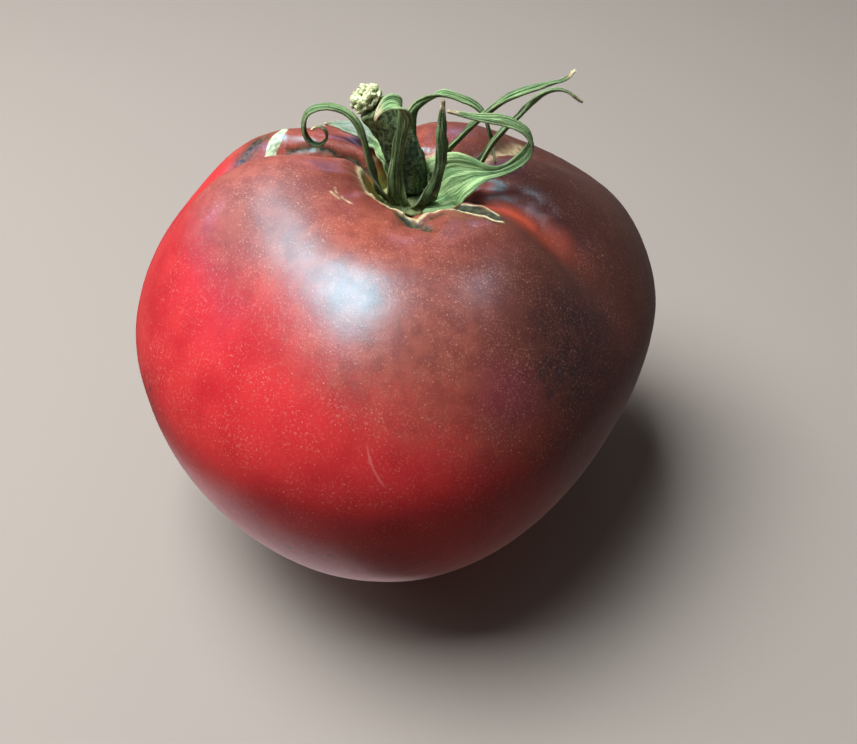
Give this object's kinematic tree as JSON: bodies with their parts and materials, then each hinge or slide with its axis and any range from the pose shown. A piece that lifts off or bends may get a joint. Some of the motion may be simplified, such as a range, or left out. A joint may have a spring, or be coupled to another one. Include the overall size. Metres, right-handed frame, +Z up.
{
  "type": "tomato",
  "caption": "A ripe beefsteak tomato with dark shoulders, dull red flanks, a curled green calyx in a furrowed hollow, and the torn stub of its stalk",
  "frame": {"origin": "middle of the flat spot that the fruit rests on, at the level of the table", "axes": "+X to the right as seen in the picture, +Y away from the viewer, +Z up"},
  "size_m": [0.0994, 0.0979, 0.0934],
  "materials": {
    "fruit_skin": "waxy, softly glossy skin: dull red, brown to purple at the shoulders, with fine pale speckles",
    "calyx_green": "matt, finely hairy green with dried pale tips",
    "stalk_green": "matt, ribbed and finely hairy green",
    "torn_pith": "rough, pale, torn fibres"
  },
  "bodies": {
    "root": {"fruit": "fruit_skin", "calyx": "calyx_green", "stem": "stalk_green", "stem_break": "torn_pith"}
  },
  "joints": []
}
